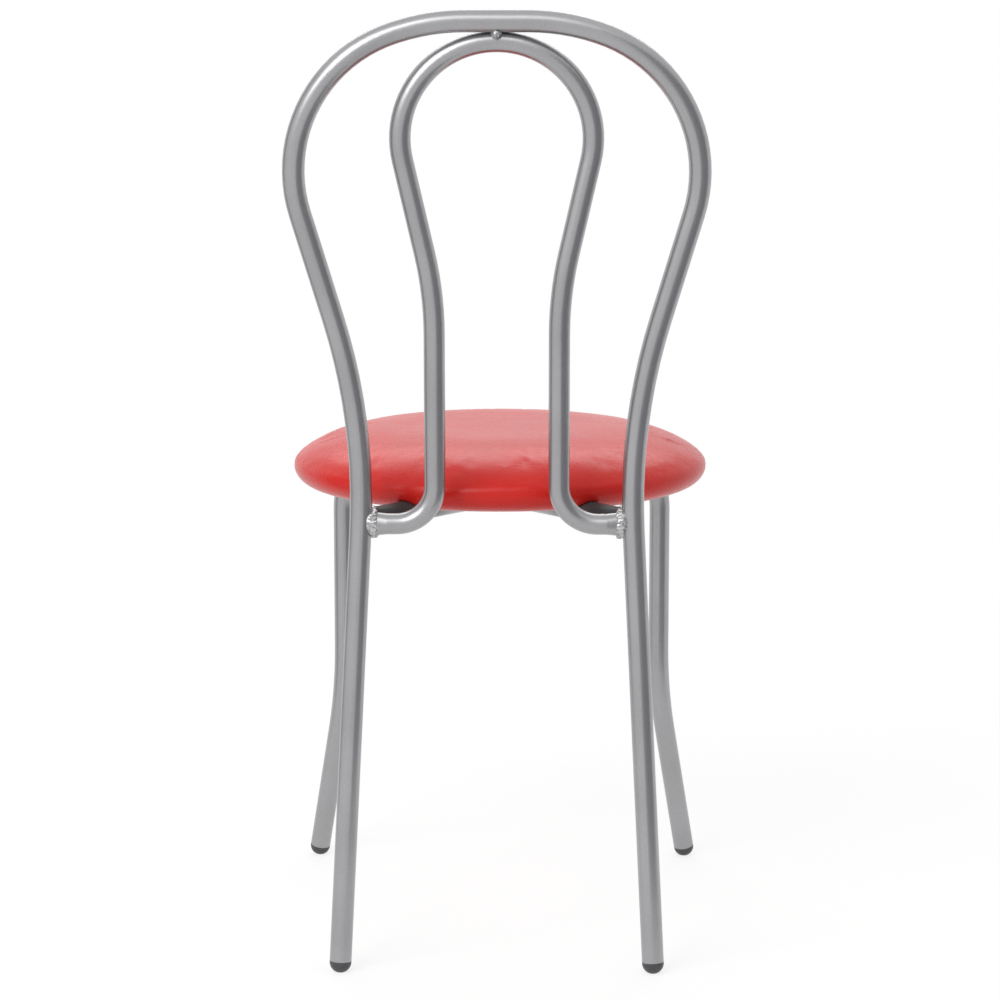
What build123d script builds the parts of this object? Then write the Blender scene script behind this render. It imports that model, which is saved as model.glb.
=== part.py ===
from build123d import *
import os
from math import asin, atan2, cos, degrees, hypot, radians, sin, sqrt, tan

# A cafe chair of bent steel tube with a round padded seat.
# Sizes are in millimetres. The chair stands on Z = 0 and faces -Y, and its left side is at +X.
# The origin is on the floor, midway between the seat's front edge and the back of the crown.

# Envelope
CHAIR_HEIGHT = 870.0  # floor to the top of the crown
CHAIR_DEPTH = 461.0  # front edge of the seat to the back of the crown

# Tubes
FRAME_TUBE_OD = 20.0
FRAME_TUBE_WALL = 1.2
HOOP_TUBE_OD = 19.0
HOOP_TUBE_WALL = 1.2
TOUCH_GAP = 0.1  # between curved pieces that bear on each other
CUT_LENGTH = 100.0  # of a cutter that runs right through

# Rear tube: two legs and the outer hoop of the back, measured on its axis
REAR_FOOT_SPAN = 286.0
KNEE_SPAN = 236.5  # where the lines of leg and back would meet
KNEE_HEIGHT = 503.0
KNEE_SETBACK = 15.0  # knees behind the seat's rear edge
KNEE_FORWARD = 34.0  # knees in front of the rear feet
KNEE_BEND_RADIUS = 510.0
BACK_SPAN = 358.2  # widest place of the hoop
SHOULDER_BEND_RADIUS = 130.0
CROWN_FLAT = 54.0  # straight middle of the crown
CROWN_BEND_ANGLE = 18.0  # degrees from the straight middle to the shoulder bend
CROWN_RUN = 2.0  # straight between the crown bend and the shoulder bend

# Inner hoop, measured on its axis
HOOP_NEST_ANGLE = 24.0  # degrees from straight below the crown towards the front
HOOP_TOP_RADIUS = 85.0
HOOP_STEM_SPAN = 111.4  # between the upright stems
HOOP_WAIST_DROP = 250.0  # where the lines of stem and loop would meet, below the chair's top
HOOP_WAIST_BEND_RADIUS = 326.0
HOOP_FOOT_BEND_RADIUS = 35.0
HOOP_FOOT_DROP = 3.1  # feet of the hoop below the braces

# Front legs and the braces that they turn into under the seat, measured on their axis
POST_SPAN = 317.0
POST_FORWARD = 119.0  # posts in front of the seat's centre
POST_BEND_RADIUS = 45.0
SPLAY_HEIGHT = 183.0  # where the lines of post and foot would meet
SPLAY_ANGLE = 14.5  # degrees from the vertical
SPLAY_BEND_RADIUS = 350.0

# Pressed ends and crossing
END_SQUEEZE = 3.5  # how much narrower a tube is where its end is welded on
END_TAPER = 14.0  # length over which the end is pressed
LAP_FLAT = 36.0  # length pressed flat where the braces cross
LAP_TAPER = 20.0  # length from round to flat

# Welds
WELD_REACH = 4.5  # along the tube
WELD_RISE = 1.6  # above and below the tube
WELD_SIDE = 1.4  # beside the tube
WELD_LIP = 0.2
TACK_RADIUS = 4.6
TACK_LENGTH = 9.0
TACK_SET = 5.2  # centre of the tack behind the line where the hoops touch
LAP_WELD_RADIUS = 4.5
LAP_WELD_HEIGHT = 14.0

# Plug glides in the leg ends
GLIDE_FLAT = 8.0  # flat of the dome that stands on the floor
GLIDE_RIM = 1.2
GLIDE_STEM_LENGTH = 18.0
GLIDE_STEM_CLEARANCE = 1.0
GLIDE_RIB_CLEARANCE = 0.1
GLIDE_RIB_COUNT = 3
GLIDE_RIB_LAND = 1.0  # straight stem above each rib

# Seat, in section: a domed pad whose soft edge rolls under the board; heights are above the hem
SEAT_DIAMETER = 396.0
SEAT_UNDERSIDE = 423.6  # floor to the hem that bears on the braces
WIDEST_HEIGHT = 9.0  # widest place of the pad
SHOULDER_REACH = 112.0  # from the widest place in to the flat of the top
SHOULDER_RISE = 36.5  # from the widest place up to the flat of the top
ROLL_REACH = 22.0  # from the widest place in to the lowest line of the roll
ROLL_DROP = 9.0  # lowest line of the roll below the hem
ROLL_INNER_REACH = 17.0  # from the lowest line of the roll in to the hem
HEM_WIDTH = 22.0
BOARD_DIAMETER = 344.0
BOARD_THICKNESS = 12.0
BOARD_GAP = 0.1  # between the board's edge and the foam
COVER_THICKNESS = 1.2
COVER_GAP = 0.2
CHANNEL_GAP = 0.3  # between a brace and the roll that is pressed over it

# Hem staples
STAPLE_COUNT = 40
STAPLE_CROWN = 10.0
STAPLE_LEG = 8.0
STAPLE_WIRE_WIDTH = 1.2
STAPLE_WIRE_THICKNESS = 0.6
STAPLE_INSET = 9.0  # from the hem's inner edge

# Bolted joint of braces and seat
FRONT_BOLT_INSET = 75.0  # along the brace from the post
REAR_BOLT_LEAD = 62.0  # along the brace in front of the crossing
BOLT_DIAMETER = 6.0
BOLT_HOLE_CLEARANCE = 0.5
BOLT_HEAD_DIAMETER = 11.0
BOLT_HEAD_HEIGHT = 3.5
BOLT_HEAD_ROUNDING = 1.5
BOLT_SOCKET = 4.0  # across flats
BOLT_SOCKET_DEPTH = 2.2
BOLT_TIP_GAP = 1.0  # tip below the top of the board
WASHER_DIAMETER = 14.0
WASHER_WEB = 1.2  # under the lowest line of the tube
WASHER_HEIGHT = 3.4
TEE_NUT_FLANGE = 19.0
TEE_NUT_FLANGE_THICKNESS = 1.5
TEE_NUT_BARREL = 8.0
TEE_NUT_LENGTH = 11.0
TEE_NUT_FIT = 0.1
THREAD_CLEARANCE = 0.05

# Places that follow from the sizes
frame_radius = FRAME_TUBE_OD / 2
hoop_radius = HOOP_TUBE_OD / 2
crown = Vector(0, CHAIR_DEPTH / 2 - frame_radius, CHAIR_HEIGHT - frame_radius)
seat_y = (SEAT_DIAMETER - CHAIR_DEPTH) / 2
knee = Vector(KNEE_SPAN / 2, seat_y + SEAT_DIAMETER / 2 + KNEE_SETBACK, KNEE_HEIGHT)
rear_foot = Vector(REAR_FOOT_SPAN / 2, knee.Y + KNEE_FORWARD, 0)
brace_z = SEAT_UNDERSIDE - TOUCH_GAP - frame_radius
hoop_foot_z = brace_z - HOOP_FOOT_DROP
skin = COVER_THICKNESS + COVER_GAP
board_top = SEAT_UNDERSIDE + skin + BOARD_THICKNESS
dome_height = sqrt(frame_radius ** 2 - (GLIDE_FLAT / 2) ** 2)
up = Vector(0, 0, 1)

# Alignments of a solid that stands on its place or hangs below it
standing = (Align.CENTER, Align.CENTER, Align.MIN)
below = (Align.CENTER, Align.CENTER, Align.MAX)


def mirrored(points):
    """The same points on the chair's other side, in reverse order."""
    return [Vector(-point.X, point.Y, point.Z) for point in reversed(points)]


def tangent_lean(across, rise, radius):
    """Angle from the vertical of the line that touches a circle's outer side, seen from a point."""
    return atan2(across, rise) + asin(radius / hypot(across, rise))


def swept(path, radius):
    """Round bar along a path."""
    return sweep(Plane(origin=path @ 0, z_dir=path % 0) * Circle(radius), path=path)


def tube(path, radius, wall):
    """Round tube along a path: an outer skin, a bore and a ring at each end."""
    faces = []
    for size in (radius, radius - wall):
        faces += swept(path, size).faces().filter_by(GeomType.PLANE, reverse=True)
    ring = (Circle(radius) - Circle(radius - wall)).face()
    for end in (0, 1):
        faces.append(Plane(origin=path @ end, z_dir=path % end) * ring)
    return Solid(Shell(faces))


def pressed(plane, stations):
    """Bar through ellipses, each given as distance, half width, half height and shift."""
    sections = []
    for distance, half_width, half_height, shift in stations:
        ellipse = Ellipse(half_width, half_height)
        section = Circle(half_width) if half_width == half_height else ellipse
        sections.append(plane.offset(distance) * Pos(0, shift) * section)
    return loft(sections, ruled=True)


def girth_kept(radius, half_width):
    """Other half axis of a round tube that is pressed to a half width."""
    return sqrt(2 * radius ** 2 - half_width ** 2)


def end_axes(radius):
    """Half height and half width of a tube's pressed end."""
    half_width = radius - END_SQUEEZE / 2
    return girth_kept(radius, half_width), half_width


def pressed_end(plane, radius, inset):
    """End of a tube that is pressed narrow, from a leg's axis outwards along the plane's normal."""
    tall, narrow = end_axes(radius)
    return pressed(plane, [
        (0, tall - inset, narrow - inset, 0),
        (frame_radius, tall - inset, narrow - inset, 0),
        (frame_radius + END_TAPER, radius - inset, radius - inset, 0),
    ])


def weld_collar(plane, radius):
    """Bead round a pressed end, from a leg's axis outwards along the plane's normal."""
    tall, narrow = end_axes(radius)
    return pressed(plane, [
        (0, tall + WELD_RISE, narrow + WELD_SIDE, 0),
        (frame_radius, tall + WELD_RISE, narrow + WELD_SIDE, 0),
        (frame_radius + WELD_REACH, tall + WELD_LIP, narrow + WELD_LIP, 0),
    ])


def rear_leg_axis(side, height):
    """Point of a rear leg's axis at a height."""
    point = rear_foot + (knee - rear_foot) * (height / KNEE_HEIGHT)
    return Vector(side * point.X, point.Y, point.Z)


def rear_leg_direction(side):
    """Upward direction of a rear leg."""
    return (rear_leg_axis(side, KNEE_HEIGHT) - rear_leg_axis(side, 0)).normalized()


def rear_frame_path():
    """Axis of the rear tube, from the left foot over the crown to the right foot."""
    knee_middle = Vector(0, knee.Y, knee.Z)
    rise = (crown - knee_middle).length
    normal = Vector(1, 0, 0).cross(crown - knee_middle)
    back = Plane(origin=knee_middle, x_dir=(1, 0, 0), z_dir=normal)
    turn = radians(CROWN_BEND_ANGLE)
    spare = BACK_SPAN / 2 - CROWN_FLAT / 2 - CROWN_RUN * cos(turn)
    crown_radius = (spare - SHOULDER_BEND_RADIUS * (1 - sin(turn))) / sin(turn)
    corner_x = CROWN_FLAT / 2 + crown_radius * tan(turn / 2)
    centre_x = BACK_SPAN / 2 - SHOULDER_BEND_RADIUS
    centre_rise = rise - (SHOULDER_BEND_RADIUS + (centre_x - corner_x) * sin(turn)) / cos(turn)
    lean = tangent_lean(centre_x - knee.X, centre_rise, SHOULDER_BEND_RADIUS)
    reach = (rise * cos(turn) - (knee.X - corner_x) * sin(turn)) / cos(lean - turn)
    left = [
        rear_leg_axis(1, dome_height) + rear_leg_direction(1) * GLIDE_RIM,
        knee,
        back.from_local_coords(Vector(knee.X + reach * sin(lean), reach * cos(lean), 0)),
        back.from_local_coords(Vector(corner_x, rise, 0)),
    ]
    radii = [KNEE_BEND_RADIUS, SHOULDER_BEND_RADIUS, crown_radius]
    return FilletPolyline(*left, *mirrored(left), radius=radii + radii[::-1])


def hoop_plane():
    """Plane of the inner hoop, with its origin between the feet and Y up towards the crown."""
    foot = rear_leg_axis(1, hoop_foot_z)
    middle = Vector(0, foot.Y, foot.Z)
    return Plane(origin=middle, x_dir=(1, 0, 0), z_dir=Vector(1, 0, 0).cross(hoop_top() - middle))


def nest_direction():
    """Direction from the crown's axis to the top of the inner hoop."""
    nest = radians(HOOP_NEST_ANGLE)
    return Vector(0, -sin(nest), -cos(nest))


def hoop_top():
    """Top of the inner hoop's axis, tucked under and in front of the crown."""
    return crown + nest_direction() * (frame_radius + hoop_radius + TOUCH_GAP)


def hoop_path():
    """Axis of the inner hoop, from the left pressed end over the loop to the right one."""
    plane = hoop_plane()
    rise = (hoop_top() - plane.origin).length
    stem_x = HOOP_STEM_SPAN / 2
    waist = (CHAIR_HEIGHT - HOOP_WAIST_DROP - hoop_foot_z) / plane.y_dir.Z
    centre = rise - HOOP_TOP_RADIUS
    lean = tangent_lean(-stem_x, centre - waist, HOOP_TOP_RADIUS)
    flank = sqrt(stem_x ** 2 + (centre - waist) ** 2 - HOOP_TOP_RADIUS ** 2)
    foot_x = rear_leg_axis(1, hoop_foot_z).X - frame_radius - END_TAPER
    corners = [
        (foot_x, 0),
        (stem_x, 0),
        (stem_x, waist),
        (stem_x + flank * sin(lean), waist + flank * cos(lean)),
    ]
    left = [plane.from_local_coords(Vector(x, y, 0)) for x, y in corners]
    radii = [HOOP_FOOT_BEND_RADIUS, HOOP_WAIST_BEND_RADIUS]
    right = mirrored(left)
    return Wire([
        *FilletPolyline(*left, radius=radii).edges(),
        ThreePointArc(left[-1], hoop_top(), right[0]),
        *FilletPolyline(*right, radius=radii[::-1]).edges(),
    ])


def hoop_end_plane(side):
    """Plane across a foot of the inner hoop at the leg's axis, facing away from the leg."""
    return Plane(
        origin=rear_leg_axis(side, hoop_foot_z), x_dir=hoop_plane().y_dir, z_dir=(-side, 0, 0)
    )


def post_axis(side, height):
    """Point of a front post's axis at a height."""
    return Vector(side * POST_SPAN / 2, seat_y - POST_FORWARD, height)


def brace_direction(side):
    """Direction of a brace from its post to the opposite rear leg."""
    return (rear_leg_axis(-side, brace_z) - post_axis(side, brace_z)).normalized()


def crossing():
    """Point where the axes of the two braces cross."""
    direction = brace_direction(1)
    return post_axis(1, brace_z) - direction * (POST_SPAN / 2 / direction.X)


def brace_end_plane(side):
    """Plane across a brace at the opposite rear leg's axis, facing away from that leg."""
    return Plane(origin=rear_leg_axis(-side, brace_z), x_dir=up, z_dir=-brace_direction(side))


def splay_direction(side):
    """Upward direction of a front leg's splayed foot."""
    splay = radians(SPLAY_ANGLE)
    return up * cos(splay) + brace_direction(side) * sin(splay)


def front_foot_axis(side, height):
    """Point of a front leg's splayed foot at a height."""
    drop = SPLAY_HEIGHT - height
    return post_axis(side, height) - brace_direction(side) * (drop * tan(radians(SPLAY_ANGLE)))


def front_leg_path(side):
    """Axis of a front leg, from the foot up the post and along the brace to the lap."""
    lap_start = crossing() - brace_direction(side) * (LAP_FLAT / 2 + LAP_TAPER)
    return FilletPolyline(
        front_foot_axis(side, dome_height) + splay_direction(side) * GLIDE_RIM,
        post_axis(side, SPLAY_HEIGHT),
        post_axis(side, brace_z),
        lap_start,
        radius=[SPLAY_BEND_RADIUS, POST_BEND_RADIUS],
    )


def lap_axes():
    """Half width and half height of a brace where it is pressed flat."""
    half_height = (FRAME_TUBE_OD - TOUCH_GAP) / 4
    return girth_kept(frame_radius, half_height), half_height


def lapped_brace(side, inset):
    """Brace from the start of the lap to its pressed end; the left one passes over the right one."""
    direction = brace_direction(side)
    wide, flat = lap_axes()
    shift = side * (flat + TOUCH_GAP / 2)
    half_lap = LAP_FLAT / 2
    length = (rear_leg_axis(-side, brace_z) - crossing()).length - frame_radius - END_TAPER
    radius = frame_radius - inset
    return pressed(Plane(origin=crossing(), x_dir=up.cross(direction), z_dir=direction), [
        (-half_lap - LAP_TAPER, radius, radius, 0),
        (-half_lap, wide - inset, flat - inset, shift),
        (half_lap, wide - inset, flat - inset, shift),
        (half_lap + LAP_TAPER, radius, radius, 0),
        (length, radius, radius, 0),
    ])


def hoop_bar(inset):
    """Inner hoop as a solid bar, its radius less an inset."""
    bar = swept(hoop_path(), hoop_radius - inset)
    for side in (1, -1):
        bar += pressed_end(hoop_end_plane(side), hoop_radius, inset)
    return bar


def front_leg_bar(side, inset):
    """Front leg and brace as a solid bar, its radius less an inset."""
    bar = swept(front_leg_path(side), frame_radius - inset) + lapped_brace(side, inset)
    return bar + pressed_end(brace_end_plane(side), frame_radius, inset)


def glide(centre, direction):
    """Domed plug, flat where it stands on the floor, with a ribbed stem up the leg."""
    bore = frame_radius - FRAME_TUBE_WALL
    core = bore - GLIDE_STEM_CLEARANCE
    pitch = GLIDE_STEM_LENGTH / GLIDE_RIB_COUNT
    outline = [(frame_radius, 0), (frame_radius, GLIDE_RIM), (core, GLIDE_RIM)]
    for rib in range(GLIDE_RIB_COUNT):
        foot = GLIDE_RIM + rib * pitch + GLIDE_RIB_LAND
        outline += [(core, foot), (bore - GLIDE_RIB_CLEARANCE, foot)]
        outline.append((core, foot + pitch - GLIDE_RIB_LAND))
    tip = outline[-1][1]
    outline += [(0, tip), (0, -frame_radius)]
    section = Plane.XZ * make_face([
        *Polyline(*outline).edges(),
        CenterArc((0, 0), frame_radius, -90, 90),
    ])
    plug = Plane(origin=centre, z_dir=direction) * revolve(section, Axis.Z)
    floor = Box(CUT_LENGTH, CUT_LENGTH, CUT_LENGTH, align=below)
    return plug - Pos(centre.X, centre.Y, 0) * floor


def tack_weld():
    """Short bead in the groove behind the two hoops."""
    nest = radians(HOOP_NEST_ANGLE)
    touch = crown + nest_direction() * (frame_radius + TOUCH_GAP / 2)
    centre = touch + Vector(0, cos(nest), -sin(nest)) * TACK_SET
    return Pos(centre) * Rot(0, 90, 0) * Cylinder(TACK_RADIUS, TACK_LENGTH)


def lap_welds():
    """Beads in the front and rear notches of the crossed braces."""
    wide, _ = lap_axes()
    notch = wide / abs(brace_direction(1).X)
    bead = Cylinder(LAP_WELD_RADIUS, LAP_WELD_HEIGHT)
    return [Pos(crossing() + Vector(0, end * notch, 0)) * bead for end in (1, -1)]


def pad_outline(inset):
    """Half outline of the pad, shrunk by an inset: hem, roll, soft edge and top, closed along its axis."""
    widest = SEAT_DIAMETER / 2
    roll = widest - ROLL_REACH
    shoulder = widest - SHOULDER_REACH
    top = WIDEST_HEIGHT + SHOULDER_RISE - inset
    hem = roll - ROLL_INNER_REACH + inset
    lower = WIDEST_HEIGHT + ROLL_DROP - inset
    return [
        Line((0, inset), (hem, inset)),
        EllipticalCenterArc((roll, inset), ROLL_INNER_REACH - inset, ROLL_DROP, 180, arc_size=90),
        EllipticalCenterArc((roll, WIDEST_HEIGHT), ROLL_REACH - inset, lower, 270, arc_size=90),
        EllipticalCenterArc(
            (shoulder, WIDEST_HEIGHT), SHOULDER_REACH - inset, SHOULDER_RISE - inset, 0, arc_size=90
        ),
        Line((shoulder, top), (0, top)),
        Line((0, top), (0, inset)),
    ]


def pad(inset):
    """Whole pad, shrunk by an inset, with its roll pressed over the braces."""
    section = Plane.XZ * make_face(pad_outline(inset))
    body = Pos(0, seat_y, SEAT_UNDERSIDE) * revolve(section, Axis.Z)
    for side in (1, -1):
        body -= front_leg_bar(side, -CHANNEL_GAP - inset)
    return body


def hem_radius():
    """Inner radius of the hem."""
    return SEAT_DIAMETER / 2 - ROLL_REACH - ROLL_INNER_REACH - HEM_WIDTH


def seat_cover():
    """Cover drawn over the foam and under the board, with an open middle underneath."""
    opening = Pos(0, seat_y, SEAT_UNDERSIDE) * Cylinder(hem_radius(), skin, align=standing)
    return pad(0) - pad(COVER_THICKNESS) - opening


def seat_foam():
    """Foam pad on the board that wraps round the board's edge."""
    hollow = Cylinder(BOARD_DIAMETER / 2 + BOARD_GAP, BOARD_THICKNESS, align=standing)
    return pad(skin) - Pos(0, seat_y, SEAT_UNDERSIDE + skin) * hollow


def seat_board(points):
    """Round board, bored and recessed for the tee nuts."""
    blank = Cylinder(BOARD_DIAMETER / 2, BOARD_THICKNESS, align=standing)
    board = Pos(0, seat_y, SEAT_UNDERSIDE + skin) * blank
    bore = Cylinder(TEE_NUT_BARREL / 2 + TEE_NUT_FIT, CUT_LENGTH)
    recess = Cylinder(TEE_NUT_FLANGE / 2 + TEE_NUT_FIT, TEE_NUT_FLANGE_THICKNESS, align=below)
    for point in points:
        board -= Pos(point.X, point.Y, board_top) * (bore + recess)
    return board


def hem_staples():
    """Ring of staples pressed into the hem, with their legs up in the board."""
    thickness = STAPLE_WIRE_THICKNESS
    staple = Box(STAPLE_WIRE_WIDTH, STAPLE_CROWN, thickness, align=standing)
    for end in (1, -1):
        leg = Box(STAPLE_WIRE_WIDTH, thickness, STAPLE_LEG, align=standing)
        staple += Pos(0, end * (STAPLE_CROWN - thickness) / 2, 0) * leg
    ring = hem_radius() + STAPLE_INSET
    seat = Pos(0, seat_y, SEAT_UNDERSIDE)
    return [seat * place * staple for place in PolarLocations(ring, STAPLE_COUNT)]


def bolt_points():
    """Four places along the braces where the seat is bolted on."""
    points = []
    for side in (1, -1):
        direction = brace_direction(side)
        points.append(post_axis(side, brace_z) + direction * FRONT_BOLT_INSET)
        points.append(crossing() - direction * REAR_BOLT_LEAD)
    return points


def bolt_hole(point):
    """Clearance hole for a seat bolt, up through washer and brace."""
    return Pos(point) * Cylinder(BOLT_DIAMETER / 2 + BOLT_HOLE_CLEARANCE, CUT_LENGTH)


def saddle_washer(point, braces):
    """Washer under a brace, hollowed to the tube, with a flat underside for the bolt head."""
    low = brace_z - frame_radius - WASHER_WEB
    disc = Pos(point.X, point.Y, low) * Cylinder(WASHER_DIAMETER / 2, WASHER_HEIGHT, align=standing)
    return disc - bolt_hole(point) - braces


def seat_bolt(point):
    """Button head bolt with a hexagon socket, up through washer, brace and board."""
    head_top = brace_z - frame_radius - WASHER_WEB
    tip = board_top - BOLT_TIP_GAP
    head = Cylinder(BOLT_HEAD_DIAMETER / 2, BOLT_HEAD_HEIGHT, align=below)
    head = fillet(head.edges().sort_by(Axis.Z)[0], BOLT_HEAD_ROUNDING)
    socket = RegularPolygon(BOLT_SOCKET / 2, 6, major_radius=False)
    head -= Pos(0, 0, -BOLT_HEAD_HEIGHT) * extrude(socket, BOLT_SOCKET_DEPTH)
    shank = Cylinder(BOLT_DIAMETER / 2, tip - head_top, align=standing)
    return Pos(point.X, point.Y, head_top) * (head + shank)


def tee_nut(point):
    """Threaded barrel with a flange let into the board's top."""
    nut = Cylinder(TEE_NUT_FLANGE / 2, TEE_NUT_FLANGE_THICKNESS, align=below)
    nut += Cylinder(TEE_NUT_BARREL / 2, TEE_NUT_LENGTH, align=below)
    nut -= Cylinder(BOLT_DIAMETER / 2 + THREAD_CLEARANCE, CUT_LENGTH)
    return Pos(point.X, point.Y, board_top) * nut


def write(name, shapes):
    """Write one node as a STEP file; several shapes become a group of separate solids."""
    solids = [solid for shape in shapes for solid in shape.solids()]
    export_step(solids[0] if len(solids) == 1 else Compound(children=solids), f"parts/{name}.step")


os.makedirs("parts", exist_ok=True)
names = {1: "left", -1: "right"}
points = bolt_points()

# Tubes
rear_bar = swept(rear_frame_path(), frame_radius)
hoop = hoop_bar(0)
legs = {side: front_leg_bar(side, 0) for side in names}
braces = legs[1] + legs[-1]
write("rear_frame_tube", [tube(rear_frame_path(), frame_radius, FRAME_TUBE_WALL)])
write("inner_hoop_tube", [hoop - hoop_bar(HOOP_TUBE_WALL) - rear_bar - legs[1] - legs[-1]])
for side, name in names.items():
    leg = legs[side] - front_leg_bar(side, FRAME_TUBE_WALL) - rear_bar
    for point in points:
        leg -= bolt_hole(point)
    write(f"front_leg_{name}_tube", [leg])

# Welds
write("hoop_top_weld", [tack_weld() - rear_bar - hoop])
for side, name in names.items():
    hoop_weld = weld_collar(hoop_end_plane(side), hoop_radius) - rear_bar - hoop - legs[-side]
    write(f"hoop_foot_weld_{name}", [hoop_weld])
    brace_weld = weld_collar(brace_end_plane(-side), frame_radius) - rear_bar - hoop - legs[-side]
    write(f"brace_weld_{name}", [brace_weld - weld_collar(hoop_end_plane(side), hoop_radius)])
write("cross_lap_weld", [weld - legs[1] - legs[-1] for weld in lap_welds()])

# Glides
for side, name in names.items():
    write(f"glide_rear_{name}", [glide(rear_leg_axis(side, dome_height), rear_leg_direction(side))])
    write(f"glide_front_{name}", [glide(front_foot_axis(side, dome_height), splay_direction(side))])

# Seat
staples = hem_staples()
write("seat_cover", [seat_cover() - staples])
write("seat_foam", [seat_foam()])
write("seat_board", [seat_board(points) - staples])
write("hem_staples", staples)

# Fasteners
write("saddle_washers", [saddle_washer(point, braces) for point in points])
write("seat_bolts", [seat_bolt(point) for point in points])
write("tee_nuts", [tee_nut(point) for point in points])
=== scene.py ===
from math import acos, atan2, cos, hypot, pi, radians, sin, sqrt, tau

import bmesh
import bpy
from bpy.props import FloatProperty, FloatVectorProperty, IntProperty, PointerProperty
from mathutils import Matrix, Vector, noise
from mathutils.bvhtree import BVHTree


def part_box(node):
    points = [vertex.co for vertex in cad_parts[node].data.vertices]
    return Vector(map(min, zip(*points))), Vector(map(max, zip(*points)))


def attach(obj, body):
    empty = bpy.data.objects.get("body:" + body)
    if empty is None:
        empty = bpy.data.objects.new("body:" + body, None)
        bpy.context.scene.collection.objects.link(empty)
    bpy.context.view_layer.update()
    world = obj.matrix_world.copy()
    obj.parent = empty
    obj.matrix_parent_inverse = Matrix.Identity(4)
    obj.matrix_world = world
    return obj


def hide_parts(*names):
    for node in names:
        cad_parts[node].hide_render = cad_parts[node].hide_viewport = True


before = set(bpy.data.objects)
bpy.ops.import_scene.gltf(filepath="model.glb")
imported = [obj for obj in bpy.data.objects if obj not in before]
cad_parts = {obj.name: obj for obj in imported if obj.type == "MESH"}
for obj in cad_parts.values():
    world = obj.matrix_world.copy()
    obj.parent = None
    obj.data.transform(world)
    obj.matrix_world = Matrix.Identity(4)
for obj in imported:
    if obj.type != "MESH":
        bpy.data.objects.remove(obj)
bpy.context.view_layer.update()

bl_info = {
    "name": "Cafe chair dressing",
    "version": (1, 0, 0),
    "blender": (4, 5, 0),
    "location": "3D View > Sidebar > Chair",
    "description": "Finishes a bent-tube cafe chair: paint, weld beads, padded seat and studio",
    "category": "Object",
}

# Groups of CAD nodes that share a finish
TUBES = ("rear_frame_tube", "inner_hoop_tube")
LEGS = ("front_leg_left_tube", "front_leg_right_tube")
GLIDES = ("glide_rear_left", "glide_rear_right", "glide_front_left", "glide_front_right")
FASTENERS = ("hem_staples", "saddle_washers", "seat_bolts", "tee_nuts")

# Lines of the left side of the frame that the weld beads follow, in metres
REAR_FOOT = Vector((0.143, 0.2145, 0.0))
REAR_KNEE = Vector((0.11825, 0.1805, 0.503))
FRONT_POST = Vector((0.1585, -0.1515, 0.4135))
POST_BEND = 0.045
HOOP_TOP = Vector((0.0, 0.21253, 0.84209))
HOOP_FOOT_HEIGHT = 0.4104
TUBE_RADIUS = 0.010
HOOP_RADIUS = 0.0095
END_SQUEEZE = 0.0035

# Frames of the simulation that swells the seat, and clearance of the cushion round the board in metres
SWELL_FRAMES = 14
BOARD_CLEARANCE = 0.0002


def linear(code):
    """Linear colour of an sRGB hex value."""
    channels = [int(code[place:place + 2], 16) / 255 for place in (1, 3, 5)]
    return [c / 12.92 if c <= 0.04045 else ((c + 0.055) / 1.055) ** 2.4 for c in channels]


def per_metre(millimetres):
    """Texture scale of a pattern whose repeat has a size in millimetres."""
    return 1000 / millimetres


def add(tree, kind, links=None, **settings):
    """Add a node; links gives its inputs, each a plain value or an output that feeds it."""
    made = tree.nodes.new(kind)
    for name, value in settings.items():
        setattr(made, name, value)
    for name, value in (links or {}).items():
        if isinstance(value, bpy.types.NodeSocket):
            tree.links.new(value, made.inputs[name])
        else:
            made.inputs[name].default_value = value
    return made


def blank(name):
    """New material with an empty node tree."""
    made = bpy.data.materials.new(name)
    made.use_nodes = True
    made.node_tree.nodes.clear()
    return made, made.node_tree


def shade(tree, **sockets):
    """Finish a material with one surface shader; a space in a socket's name is written as _."""
    links = {name.replace("_", " "): value for name, value in sockets.items()}
    surface = add(tree, "ShaderNodeBsdfPrincipled", links)
    add(tree, "ShaderNodeOutputMaterial", {"Surface": surface.outputs[0]})


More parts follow.
